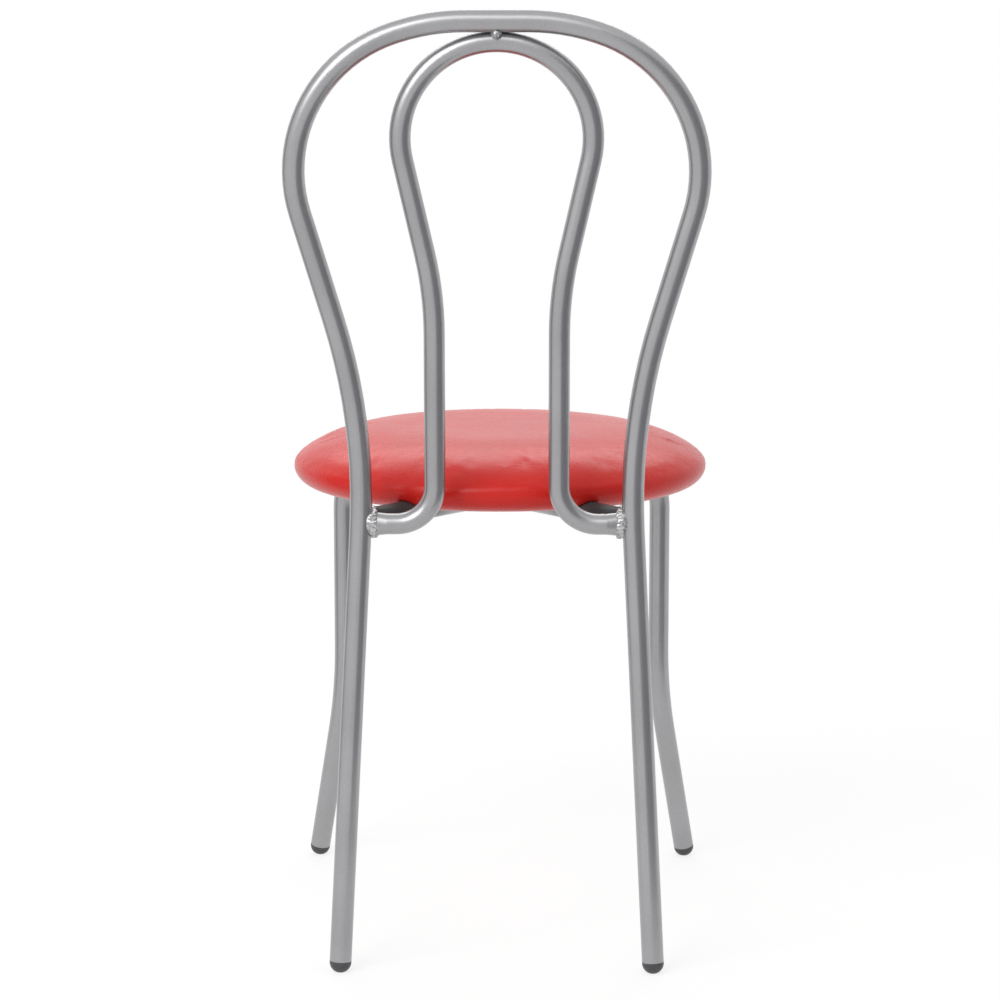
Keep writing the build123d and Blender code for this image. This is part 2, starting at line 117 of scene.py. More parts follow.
def sprayed_silver_enamel(settings, name, painted_shade_at=None):
    """Stoved enamel with aluminium flake, sprayed on steel tube: satin, softly mirrored, faint orange peel.

    Near a given place, set for the left side and mirrored to the right, it takes painted shade: darker and
    matt, as under the seat at the brace ends.
    """
    made, tree = blank(name)
    place = add(tree, "ShaderNodeTexCoord").outputs["Object"]
    # Real flake is about 0.05 mm; it is drawn at 0.6 mm so that it still shows as a slight sparkle
    flake = add(tree, "ShaderNodeTexVoronoi", {"Vector": place, "Scale": per_metre(0.6)})
    peel = add(tree, "ShaderNodeTexNoise", {"Vector": place, "Scale": per_metre(4.0), "Detail": 1.0})
    cloud = add(tree, "ShaderNodeTexNoise", {"Vector": place, "Scale": per_metre(70), "Detail": 4.0})
    tone = add(tree, "ShaderNodeMix", {
        0: add(tree, "ShaderNodeMapRange", {0: cloud.outputs[0], 1: 0.35, 2: 0.65}).outputs[0],
        6: (*settings.paint, 1), 7: (*settings.paint_shade, 1),
    }, data_type="RGBA")
    speck = add(tree, "ShaderNodeMix", {
        0: add(tree, "ShaderNodeMapRange", {0: flake.outputs["Color"], 3: 0.0, 4: 0.08}).outputs[0],
        6: tone.outputs[2], 7: (*linear("#FFFFFF"), 1),
    }, data_type="RGBA")
    if painted_shade_at:
        # Painted shade under the seat: the enamel darkens towards the rear-leg weld on each side
        axes = add(tree, "ShaderNodeSeparateXYZ", {0: place})
        aside = add(tree, "ShaderNodeMath", {0: axes.outputs[0]}, operation="ABSOLUTE")
        folded = add(tree, "ShaderNodeCombineXYZ", {
            0: aside.outputs[0], 1: axes.outputs[1], 2: axes.outputs[2]})
        away = add(tree, "ShaderNodeVectorMath", {0: folded.outputs[0], 1: painted_shade_at}, operation="DISTANCE")
        painted_shade = add(tree, "ShaderNodeMapRange", {
            0: away.outputs["Value"], 1: settings.painted_shade_reach * 0.3, 2: settings.painted_shade_reach, 3: 0.93, 4: 0.0,
        }, interpolation_type="SMOOTHSTEP")
        speck = add(tree, "ShaderNodeMix", {
            0: painted_shade.outputs[0], 6: speck.outputs[2], 7: (*settings.painted_shade_colour, 1)}, data_type="RGBA")
    gloss = add(tree, "ShaderNodeMapRange", {
        0: cloud.outputs[0], 1: 0.3, 2: 0.7,
        3: settings.paint_roughness - 0.02, 4: settings.paint_roughness + 0.03,
    })
    metal = 0.88
    if painted_shade_at:
        # Painted shade: the brace ends under the seat are darkened and lose the metal's shine
        gloss = add(tree, "ShaderNodeMapRange", {0: painted_shade.outputs[0], 3: gloss.outputs[0], 4: 0.7})
        metal = add(tree, "ShaderNodeMapRange", {0: painted_shade.outputs[0], 3: metal, 4: 0.08}).outputs[0]
    skin = add(tree, "ShaderNodeBump", {
        "Height": peel.outputs[0], "Strength": 0.15, "Distance": 0.0001})
    shade(tree, Base_Color=speck.outputs[2], Metallic=metal, Roughness=gloss.outputs[0],
          Coat_Weight=0.12, Coat_Roughness=0.22, Normal=skin.outputs[0])
    return made


def painted_weld_bead(settings):
    """Weld metal under the same enamel: lumpy and glossier, so that its crests glint. Its crests are
    painted lighter as painted highlight, and its pits darker as painted shade.
    """
    made, tree = blank("painted_weld_bead")
    place = add(tree, "ShaderNodeTexCoord").outputs["Object"]
    pits = add(tree, "ShaderNodeTexNoise", {"Vector": place, "Scale": per_metre(2.2), "Detail": 3.0})
    # Painted highlight and shade: lighter colour on the crests, darker in the pits of the noise that makes
    # the bumps
    tone = add(tree, "ShaderNodeMix", {
        0: add(tree, "ShaderNodeMapRange", {0: pits.outputs[0], 1: 0.35, 2: 0.65}).outputs[0],
        6: (*settings.weld_painted_shade, 1), 7: (*settings.weld, 1),
    }, data_type="RGBA")
    gloss = add(tree, "ShaderNodeMapRange", {0: pits.outputs[0], 1: 0.3, 2: 0.7, 3: 0.34, 4: 0.2})
    skin = add(tree, "ShaderNodeBump", {
        "Height": pits.outputs[0], "Strength": 0.5, "Distance": 0.0005})
    shade(tree, Base_Color=tone.outputs[2], Metallic=0.92, Roughness=gloss.outputs[0],
          Normal=skin.outputs[0])
    return made


def moulded_polyethylene(settings):
    """Black polyethylene, injection moulded in a spark-eroded tool: dull, waxy, fine even texture."""
    made, tree = blank("moulded_polyethylene")
    place = add(tree, "ShaderNodeTexCoord").outputs["Object"]
    erosion = add(tree, "ShaderNodeTexNoise", {"Vector": place, "Scale": per_metre(0.8), "Detail": 3.0})
    scuff = add(tree, "ShaderNodeTexNoise", {"Vector": place, "Scale": per_metre(6), "Detail": 6.0})
    rub = add(tree, "ShaderNodeMapRange", {0: scuff.outputs[0], 1: 0.52, 2: 0.72})
    tone = add(tree, "ShaderNodeMix", {
        0: rub.outputs[0], 6: (*settings.plastic, 1), 7: (*settings.plastic_scuff, 1),
    }, data_type="RGBA")
    gloss = add(tree, "ShaderNodeMapRange", {0: rub.outputs[0], 3: 0.42, 4: 0.6})
    skin = add(tree, "ShaderNodeBump", {
        "Height": erosion.outputs[0], "Strength": 0.3, "Distance": 0.00015})
    shade(tree, Base_Color=tone.outputs[2], Roughness=gloss.outputs[0], IOR=1.51, Normal=skin.outputs[0])
    return made


def embossed_leathercloth(settings):
    """PVC leathercloth with an embossed grain, drawn tight: deep red, satin, pale at a glancing view."""
    made, tree = blank("embossed_leathercloth")
    place = add(tree, "ShaderNodeTexCoord").outputs["Object"]
    # The emboss runs in short streaks across the seat, about 0.8 mm wide and 12 mm long
    across = add(tree, "ShaderNodeMapping", {"Vector": place, "Scale": (0.07, 1.0, 1.0)})
    streak = add(tree, "ShaderNodeTexNoise", {
        "Vector": across.outputs[0], "Scale": per_metre(1.6), "Detail": 3.0, "Roughness": 0.6})
    crease = add(tree, "ShaderNodeTexNoise", {
        "Vector": place, "Scale": per_metre(9), "Detail": 5.0, "Roughness": 0.55})
    cloud = add(tree, "ShaderNodeTexNoise", {"Vector": place, "Scale": per_metre(90), "Detail": 3.0})
    tone = add(tree, "ShaderNodeMix", {
        0: add(tree, "ShaderNodeMapRange", {0: cloud.outputs[0], 1: 0.3, 2: 0.7}).outputs[0],
        6: (*settings.vinyl, 1), 7: (*settings.vinyl_shade, 1),
    }, data_type="RGBA")
    gloss = add(tree, "ShaderNodeMapRange", {
        0: streak.outputs[0], 1: 0.3, 2: 0.7,
        3: settings.vinyl_roughness - 0.05, 4: settings.vinyl_roughness + 0.06})
    grain = add(tree, "ShaderNodeBump", {
        "Height": streak.outputs[0], "Strength": 0.42, "Distance": 0.00025})
    skin = add(tree, "ShaderNodeBump", {
        "Height": crease.outputs[0], "Strength": 0.09, "Distance": 0.0004, "Normal": grain.outputs[0]})
    shade(tree, Base_Color=tone.outputs[2], Roughness=gloss.outputs[0], IOR=1.37, Normal=skin.outputs[0])
    return made


def sanded_birch_plywood(settings):
    """Birch plywood, rotary cut and sanded: pale, broad wandering figure with short fine pores."""
    made, tree = blank("sanded_birch_plywood")
    place = add(tree, "ShaderNodeTexCoord").outputs["Object"]
    along = add(tree, "ShaderNodeMapping", {"Vector": place, "Scale": (1.0, 0.12, 1.0)})
    figure = add(tree, "ShaderNodeTexNoise", {
        "Vector": along.outputs[0], "Scale": per_metre(28), "Detail": 3.0, "Distortion": 1.2})
    fibre = add(tree, "ShaderNodeTexNoise", {
        "Vector": along.outputs[0], "Scale": per_metre(0.9), "Detail": 3.0})
    band = add(tree, "ShaderNodeMath", {
        0: add(tree, "ShaderNodeMath", {0: figure.outputs[0], 1: 9.0}, operation="MULTIPLY").outputs[0],
    }, operation="FRACT")
    tone = add(tree, "ShaderNodeMix", {
        0: add(tree, "ShaderNodeMapRange", {0: band.outputs[0], 3: 0.1, 4: 0.75}).outputs[0],
        6: (*settings.plywood, 1), 7: (*settings.plywood_shade, 1),
    }, data_type="RGBA")
    pores = add(tree, "ShaderNodeMix", {
        0: add(tree, "ShaderNodeMapRange", {0: fibre.outputs[0], 1: 0.55, 2: 0.75, 4: 0.4}).outputs[0],
        6: tone.outputs[2], 7: (*linear("#8A6238"), 1),
    }, data_type="RGBA")
    skin = add(tree, "ShaderNodeBump", {
        "Height": fibre.outputs[0], "Strength": 0.3, "Distance": 0.0001})
    shade(tree, Base_Color=pores.outputs[2], Roughness=0.62, IOR=1.5, Normal=skin.outputs[0])
    return made


def zinc_plated_steel(settings):
    """Bright zinc plate on pressed and headed steel: bluish white, slightly clouded."""
    made, tree = blank("zinc_plated_steel")
    place = add(tree, "ShaderNodeTexCoord").outputs["Object"]
    cloud = add(tree, "ShaderNodeTexNoise", {"Vector": place, "Scale": per_metre(5), "Detail": 5.0})
    tone = add(tree, "ShaderNodeMix", {
        0: add(tree, "ShaderNodeMapRange", {0: cloud.outputs[0], 1: 0.35, 2: 0.65}).outputs[0],
        6: (*settings.zinc, 1), 7: (*settings.zinc_shade, 1),
    }, data_type="RGBA")
    gloss = add(tree, "ShaderNodeMapRange", {0: cloud.outputs[0], 1: 0.3, 2: 0.7, 3: 0.25, 4: 0.42})
    shade(tree, Base_Color=tone.outputs[2], Metallic=1.0, Roughness=gloss.outputs[0])
    return made


def dress(names, finish):
    """Give CAD nodes a finish in place of the one that they were packed with."""
    for name in names:
        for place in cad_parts[name].material_slots:
            place.material = finish


def lofted(name, rings):
    """Closed mesh through rings of points, joined round each ring and from the last ring to the first."""
    mesh = bmesh.new()
    rows = [[mesh.verts.new(point) for point in ring] for ring in rings]
    for row, following in zip(rows, rows[1:] + rows[:1]):
        for place in range(len(row)):
            after = (place + 1) % len(row)
            mesh.faces.new((row[place], row[after], following[after], following[place]))
    return finished(name, mesh)


def finished(name, mesh):
    """Object of a bmesh, smooth shaded, with its faces turned outwards."""
    bmesh.ops.recalc_face_normals(mesh, faces=mesh.faces)
    data = bpy.data.meshes.new(name)
    mesh.to_mesh(data)
    mesh.free()
    data.shade_smooth()
    made = bpy.data.objects.new(name, data)
    bpy.context.scene.collection.objects.link(made)
    return made


def put(piece, slot, finish, *nodes):
    """Let a piece stand for CAD nodes on the frame, with its finish."""
    piece.data.materials.append(finish)
    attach(piece, "root")
    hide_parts(*nodes)


def smoothed(piece):
    """Add one level of subdivision to a piece."""
    piece.modifiers.new("smooth", "SUBSURF").levels = 1
    piece.modifiers["smooth"].render_levels = 1


def rear_leg_at(height):
    """Point of the left rear leg's axis at a height."""
    return REAR_FOOT + (REAR_KNEE - REAR_FOOT) * (height / REAR_KNEE.z)


def surface_of(name):
    """Search tree of a CAD node's surface."""
    return BVHTree.FromObject(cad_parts[name], bpy.context.evaluated_depsgraph_get())


def rippled(distance, across, settings, seed):
    """Height of a weld's surface: overlapping ripples, each bowed at its middle, and a lumpy skin."""
    phase = distance / settings.ripple_pitch - 0.5 * sin(pi * across)
    ripple = (0.5 - 0.5 * cos(tau * (phase % 1.0))) * settings.ripple_depth
    lump = noise.noise(Vector((distance * 210, across * 1.6, seed)))
    return ripple + lump * settings.weld_lump


def weld_ring(name, leg, centre, along, tall_way, radius, settings, seed):
    """Fillet bead round a tube's pressed end on a leg; along runs from the leg's axis into the tube."""
    narrow = radius - END_SQUEEZE / 2
    tall = sqrt(2 * radius ** 2 - narrow ** 2)
    side_way = along.cross(tall_way).normalized()
    steps, exposed = 132, 12
    girth = pi * (tall + narrow)
    rings = []
    for step in range(steps):
        turn = tau * step / steps
        edge = tall_way * (cos(turn) * tall) + side_way * (sin(turn) * narrow)
        normal = (tall_way * (cos(turn) / tall) + side_way * (sin(turn) / narrow)).normalized()
        spread = settings.weld_leg_toe * (0.3 + 0.7 * cos(turn) ** 2)
        corner, toe = (leg.ray_cast(centre + edge + normal * out + along * 0.05, -along)[0]
                       for out in (0.0, spread))
        if corner is None or toe is None:
            raise RuntimeError(f"{name}: the bead's ring misses the leg")
        wander = 1 + 0.16 * noise.noise(Vector((cos(turn) * 3, sin(turn) * 3, seed)))
        reach = TUBE_RADIUS + settings.weld_tube_toe * wander
        end = centre + edge + along * reach
        outward = (normal + along * 0.6).normalized()
        ring = []
        for place in range(exposed + 1):
            across = place / exposed
            swell = 4 * across * (1 - across)
            rise = settings.weld_swell * swell
            rise += rippled(girth * step / steps, across, settings, seed) * min(1, swell * 2)
            ring.append(toe.lerp(end, across) + outward * rise)
        ring += [end - normal * 0.0006, corner - normal * 0.0006 - along * 0.0006, toe - along * 0.0006]
        rings.append(ring)
    piece = lofted(name, rings)
    smoothed(piece)
    return piece


def weld_rod(name, centre, way, length, radius, settings, seed):
    """Short rippled bead along a line, with rounded ends."""
    side_way = way.orthogonal().normalized()
    third_way = way.cross(side_way)
    steps, sides = 40, 24
    mesh = bmesh.new()
    rows = []
    for step in range(steps + 1):
        share = 2 * step / steps - 1
        girth = radius * max(0.05, 1 - abs(share) ** 3) ** 0.5
        row = []
        for side in range(sides):
            turn = tau * side / sides
            rise = rippled(length * step / steps, abs(side / sides * 2 - 1), settings, seed)
            size = girth + rise * (1 - abs(share) ** 3)
            spoke = side_way * (cos(turn) * size) + third_way * (sin(turn) * size)
            row.append(mesh.verts.new(centre + way * (length / 2 * share) + spoke))
        rows.append(row)
    for row, following in zip(rows, rows[1:]):
        for side in range(sides):
            after = (side + 1) % sides
            mesh.faces.new((row[side], row[after], following[after], following[side]))
    mesh.faces.new(rows[0])
    mesh.faces.new(rows[-1])
    piece = finished(name, mesh)
    smoothed(piece)
    return piece


def weld_drop(name, low, high, settings, seed):
    """Tack weld: a lumpy drop that fills a groove, climbs the upper tube and runs down a little."""
    centre = (low + high) / 2 + Vector((0, 0.35, 0.5)) * settings.tack_climb
    half = (high - low) / 2 + Vector((0.15, 0.35, 0.35)) * settings.tack_climb
    mesh = bmesh.new()
    bmesh.ops.create_icosphere(mesh, subdivisions=5, radius=1.0)
    for vertex in mesh.verts:
        way = vertex.co.normalized()
        size = 1 + 0.1 * noise.noise(way * 2.2 + Vector((0, 0, seed)))
        taper = 1 - 0.3 * max(0.0, -way.z)
        run = max(0.0, -way.z) ** 2 * (1 - abs(way.x)) ** 2
        vertex.co = centre + Vector((
            way.x * half.x * size * taper,
            way.y * half.y * size,
            way.z * half.z * size - run * settings.tack_run,
        ))
    return finished(name, mesh)


def pad_height(settings, radius):
    """Height of the pad's top above the hem at a radius: flat, then falling to the widest place."""
    out = max(0.0, radius - settings.radius + settings.shoulder_reach) / settings.shoulder_reach
    fall = 1 - min(1.0, out) ** settings.fullness
    return settings.widest + settings.shoulder_rise * fall ** (1 / settings.fullness)


def pad_outline(settings):
    """Half outline of the pad from the edge of its top's grid down to the hem, as radius and height."""
    shoulder = settings.radius - settings.shoulder_reach
    roll = settings.radius - settings.roll_reach
    hem = roll - settings.roll_inner
    power = 2 / settings.fullness
    first = acos(((settings.grid_reach - shoulder) / settings.shoulder_reach) ** (1 / power))
    outline = []
    for step in range(1, 17):
        turn = first * (1 - step / 16)
        outline.append((shoulder + settings.shoulder_reach * cos(turn) ** power,
                        settings.widest + settings.shoulder_rise * sin(turn) ** power))
    for step in range(1, 13):
        turn = pi / 2 * step / 12
        outline.append((roll + settings.roll_reach * cos(turn),
                        settings.widest - (settings.widest + settings.roll_drop) * sin(turn)))
    for step in range(1, 9):
        turn = pi / 2 * step / 8
        outline.append((roll - settings.roll_inner * sin(turn), -settings.roll_drop * cos(turn)))
    for step in range(1, 7):
        outline.append((hem - settings.hem_width * step / 6, 0.0))
    return outline


def cushion_mesh(settings, seat):
    """Cushion as one drawn sheet: a domed top without a pole, soft edge, roll, hem and a closed inside."""
    half = 44
    count = 8 * half
    mesh = bmesh.new()
    grid, rim = {}, {}
    for i in range(-half, half + 1):
        for j in range(-half, half + 1):
            ring = max(abs(i), abs(j))
            if ring == 0:
                turn = 0.0
            elif abs(i) >= abs(j):
                turn = pi / 4 * j / i + (pi if i < 0 else 0)
            else:
                turn = pi / 2 - pi / 4 * i / j + (pi if j < 0 else 0)
            radius = settings.grid_reach * ring / half
            spot = Vector((radius * cos(turn), radius * sin(turn), pad_height(settings, radius)))
            grid[i, j] = mesh.verts.new(seat + spot)
            if ring == half:
                rim[round(turn / tau * count) % count] = grid[i, j]
    for i in range(-half, half):
        for j in range(-half, half):
            mesh.faces.new((grid[i, j], grid[i + 1, j], grid[i + 1, j + 1], grid[i, j + 1]))
    row = [rim[place] for place in range(count)]
    outline = pad_outline(settings)
    edge = settings.board_radius + BOARD_CLEARANCE
    ceiling = settings.board_top + BOARD_CLEARANCE
    inside = [(outline[-1][0], settings.sheet), (edge, settings.sheet), (edge, ceiling)]
    for radius, height in outline + inside:
        following = []
        for place in range(count):
            turn = tau * place / count
            point = seat + Vector((radius * cos(turn), radius * sin(turn), height))
            following.append(mesh.verts.new(point))
        for place in range(count):
            after = (place + 1) % count
            mesh.faces.new((row[place], row[after], following[after], following[place]))
        row = following
    mesh.faces.new(row)
    return mesh


def blown_up(piece, settings, floor):
    """Let the drawn sheet swell under the foam's pressure, held below a height and capped in travel."""
    held = piece.vertex_groups.new(name="held")
    held.add([v.index for v in piece.data.vertices if v.co.z < floor], 1.0, "REPLACE")
    cloth = piece.modifiers.new("foam_pressure", "CLOTH")
    cloth.settings.vertex_group_mass = held.name
    cloth.settings.use_pressure = True
    cloth.settings.uniform_pressure_force = settings.pressure
    cloth.settings.tension_stiffness = 40
    cloth.settings.compression_stiffness = 40
    cloth.settings.bending_stiffness = 2
    cloth.settings.effector_weights.gravity = 0
    scene = bpy.context.scene
    for step in range(1, SWELL_FRAMES + 1):
        scene.frame_set(step)
    shape = piece.evaluated_get(bpy.context.evaluated_depsgraph_get()).data
    moved = [v.co.copy() for v in shape.vertices]
    piece.modifiers.remove(cloth)
    scene.frame_set(1)
    for vertex, place in zip(piece.data.vertices, moved):
        travel = place - vertex.co
        if travel.length > settings.swell:
            travel *= settings.swell / travel.length
        vertex.co += travel


def pressed_over(piece, settings):
    """Press the underside of the pad over the braces and the bends of the front legs."""
    reach = TUBE_RADIUS + settings.tube_gap
    spread = 1.15 * reach
    for side in (1, -1):
        post = FRONT_POST * Vector((side, 1, 1))
        way = (rear_leg_at(FRONT_POST.z) * Vector((-side, 1, 1)) - post).normalized()
        for vertex in piece.data.vertices:
            spot = vertex.co - post
            along = spot.dot(way)
            aside = abs(spot.x * way.y - spot.y * way.x)
            if along < -reach or aside > spread:
                continue
            bend = (POST_BEND + reach) ** 2 - max(0.0, POST_BEND - along) ** 2
            top = post.z - POST_BEND + sqrt(max(0.0, bend))
            steep = reach - sqrt(max(0.0, reach ** 2 - aside ** 2))
            soft = reach * (1 - cos(pi / 2 * aside / spread))
            vertex.co.z = max(vertex.co.z, top - min(steep, soft))


def worked(piece, settings, seat):
    """Press in what drawing and stapling leaves: soft waves, the board's line and gathers in the hem."""
    hem = settings.radius - settings.roll_reach - settings.roll_inner
    for vertex in piece.data.vertices:
        spot = vertex.co - seat
        radius = hypot(spot.x, spot.y)
        turn = atan2(spot.y, spot.x)
        outward = Vector((spot.x, spot.y, 0)) / max(radius, 1e-6)
        if spot.z > settings.board_top + 0.004:
            vertex.co.z += (noise.noise(spot * 28) + 0.1 * noise.noise(spot * 95)) * settings.uneven
        line = 1 - abs(spot.z - settings.widest + 0.003) / 0.003
        if line > 0 and radius > settings.board_radius + 0.01:
            waver = 0.5 + 0.7 * noise.noise(Vector((cos(turn) * 7, sin(turn) * 7, 4.0)))
            vertex.co += outward * (settings.board_line * line * waver)
        if abs(spot.z) < settings.sheet / 2 and radius < hem:
            inward = (hem - radius) / settings.hem_width
            gather = 0.5 - 0.5 * cos(turn * settings.gathers * 2)
            press = 0.5 + 0.5 * cos(turn * settings.gathers)
            vertex.co.z += inward * settings.sheet * (0.35 * gather + 0.3 * press)


class TubeSettings(bpy.types.PropertyGroup):
    paint: FloatVectorProperty(
        name="Paint", description="Enamel of the tubes", subtype="COLOR", default=linear("#A1A1A3"))
    paint_shade: FloatVectorProperty(
        name="Paint, thin coat", description="Enamel where it lies thinner", subtype="COLOR",
        default=linear("#9A9A9C"))
    paint_roughness: FloatProperty(
        name="Roughness", description="Roughness of the enamel", subtype="FACTOR", default=0.3,
        min=0, max=1)
    # Painted shade of the brace ends under the seat, and how far it reaches from the rear-leg weld
    painted_shade_colour: FloatVectorProperty(
        name="Painted_shade", description="Painted_darkening on the brace ends", subtype="COLOR", default=linear("#161618"))
    painted_shade_reach: FloatProperty(
        name="Soot reach", description="How far the smoke reaches from a weld", unit="LENGTH", default=0.13)


class WeldSettings(bpy.types.PropertyGroup):
    # Painted highlight on the beads' crests and painted shade in their pits
    weld: FloatVectorProperty(
        name="Bead", description="Crests of the weld beads", subtype="COLOR", default=linear("#C9C9C9"))
    weld_painted_shade: FloatVectorProperty(
        name="Bead, pits", description="Pits of the weld beads", subtype="COLOR", default=linear("#8C8B8C"))
    ripple_pitch: FloatProperty(
        name="Ripple pitch", description="Distance between ripples", unit="LENGTH", default=0.0032)
    ripple_depth: FloatProperty(
        name="Ripple depth", description="Step at each ripple", unit="LENGTH", default=0.0006)
    weld_lump: FloatProperty(
        name="Lumps", description="Unevenness of the bead", unit="LENGTH", default=0.0009)
    weld_swell: FloatProperty(
        name="Swell", description="Convexity of the bead", unit="LENGTH", default=0.0010)
    weld_leg_toe: FloatProperty(
        name="Toe on the leg", description="Spread of the bead up and down the leg", unit="LENGTH",
        default=0.0018)
    weld_tube_toe: FloatProperty(
        name="Toe on the tube", description="Spread of the bead along the joined tube", unit="LENGTH",
        default=0.0055)
    tack_run: FloatProperty(
        name="Tack run", description="How far the tack ran down", unit="LENGTH", default=0.0008)
    tack_climb: FloatProperty(
        name="Tack climb", description="How far the tack reaches up the outer hoop", unit="LENGTH",
        default=0.0028)


class GlideSettings(bpy.types.PropertyGroup):
    plastic: FloatVectorProperty(
        name="Plastic", description="Glides in the leg ends", subtype="COLOR", default=linear("#46474A"))
    plastic_scuff: FloatVectorProperty(
        name="Plastic, scuffed", description="Where the floor has rubbed the glides", subtype="COLOR",
        default=linear("#57585A"))


class SeatSettings(bpy.types.PropertyGroup):
    vinyl: FloatVectorProperty(
        name="Vinyl", description="Seat cover", subtype="COLOR", default=linear("#DC2820"))
    vinyl_shade: FloatVectorProperty(
        name="Vinyl, deeper", description="Seat cover where its colour is deeper", subtype="COLOR",
        default=linear("#D4231C"))
    vinyl_roughness: FloatProperty(
        name="Roughness", description="Roughness of the cover", subtype="FACTOR", default=0.28,
        min=0, max=1)
    radius: FloatProperty(name="Radius", description="Widest radius", unit="LENGTH", default=0.198)
    widest: FloatProperty(
        name="Widest height", description="Widest place above the hem", unit="LENGTH", default=0.009)
    shoulder_reach: FloatProperty(
        name="Shoulder reach", description="From the widest place in to the flat top", unit="LENGTH",
        default=0.112)
    shoulder_rise: FloatProperty(
        name="Shoulder rise", description="From the widest place up to the top before it swells",
        unit="LENGTH", default=0.0358)
    fullness: FloatProperty(
        name="Fullness", description="Roundness of the shoulder; 2 is an ellipse", default=2.05)
    roll_reach: FloatProperty(
        name="Roll reach", description="From the widest place in to the lowest line", unit="LENGTH",
        default=0.022)
    roll_drop: FloatProperty(
        name="Roll drop", description="Lowest line below the hem", unit="LENGTH", default=0.009)
    roll_inner: FloatProperty(
        name="Roll, inner", description="From the lowest line in to the hem", unit="LENGTH", default=0.017)
    grid_reach: FloatProperty(
        name="Top grid", description="Radius of the part of the top that is one even grid", unit="LENGTH",
        default=0.15)
    hem_width: FloatProperty(name="Hem", description="Cover under the board", unit="LENGTH", default=0.022)
    board_radius: FloatProperty(
        name="Board radius", description="Radius of the board inside", unit="LENGTH", default=0.172)
    board_top: FloatProperty(
        name="Board top", description="Hem to the top of the board", unit="LENGTH", default=0.0134)
    sheet: FloatProperty(name="Sheet", description="Thickness of the cover", unit="LENGTH", default=0.0012)
    tube_gap: FloatProperty(
        name="Tube gap", description="Between a brace and the pad over it", unit="LENGTH", default=0.0005)
    gathers: IntProperty(name="Gathers", description="Stapled places in the hem", default=40)
    pressure: FloatProperty(name="Pressure", description="Foam pressure on the cover", default=4.0)
    swell: FloatProperty(
        name="Swell", description="Most that the cover moves", unit="LENGTH", default=0.0012)
    uneven: FloatProperty(
        name="Unevenness", description="Soft waves of the top", unit="LENGTH", default=0.00018)
    board_line: FloatProperty(
        name="Board line", description="Ridge where the foam meets the board", unit="LENGTH",
        default=0.0003)


class BoardSettings(bpy.types.PropertyGroup):
    plywood: FloatVectorProperty(
        name="Plywood", description="Board under the seat", subtype="COLOR", default=linear("#CFB083"))
    plywood_shade: FloatVectorProperty(
        name="Plywood, figure", description="Darker figure of the board", subtype="COLOR",
        default=linear("#B5905F"))
    zinc: FloatVectorProperty(
        name="Zinc", description="Bolts, washers, nuts and staples", subtype="COLOR",
        default=linear("#C9CCCF"))
    zinc_shade: FloatVectorProperty(
        name="Zinc, clouded", description="Clouded zinc plate", subtype="COLOR", default=linear("#A7AAAE"))


class StageSettings(bpy.types.PropertyGroup):
    floor: FloatVectorProperty(
        name="Floor", description="Floor and background", subtype="COLOR", default=linear("#FFFFFF"))
    floor_glow: FloatProperty(
        name="Floor glow", description="Own light of the floor in view", default=0.75)
    floor_shaded: FloatVectorProperty(
        name="Floor, shaded", description="Part of the seen floor that takes a shadow", subtype="COLOR",
        default=linear("#959595"))
    paper: FloatVectorProperty(
        name="Paper", description="Floor that lights the chair from below", subtype="COLOR",
        default=linear("#D7D7D7"))
    card: FloatVectorProperty(
        name="Cards", description="Cards beside the camera", subtype="COLOR", default=linear("#AAAAAF"))
    daylight: FloatProperty(name="Ambient", description="Light from all sides", default=0.55)
    key: FloatProperty(name="Key", description="Power of the main soft light", unit="POWER", default=50.0)
    top: FloatProperty(name="Top", description="Power of the upper soft light", unit="POWER", default=12.0)
    back: FloatProperty(
        name="Back", description="Power of the soft light behind", unit="POWER", default=24.0)
    camera: FloatVectorProperty(
        name="Camera", description="Place of the camera", subtype="TRANSLATION",
        default=(-0.0400, 3.1366, 0.9248))
    pitch: FloatProperty(
        name="Pitch", description="Downward tilt", subtype="ANGLE", default=radians(9.477))
    yaw: FloatProperty(name="Yaw", description="Turn to the left", subtype="ANGLE", default=radians(0.724))
    lens: FloatProperty(name="Lens", description="Focal length in millimetres", default=119.66)


class CHAIR_OT_tubes(bpy.types.Operator):
    """Paint the bent tubes of the frame"""
    bl_idname = "chair.tubes"
    bl_label = "Paint the tubes"

    def execute(self, context):
        settings = context.scene.chair_tubes
        dress(TUBES, sprayed_silver_enamel(settings, "sprayed_silver_enamel"))
        # The front legs' enamel takes painted shade at the brace ends near the rear-leg weld
        weld = rear_leg_at(FRONT_POST.z)
        dress(LEGS, sprayed_silver_enamel(settings, "sprayed_silver_enamel_painted_shade", weld))
        return {"FINISHED"}


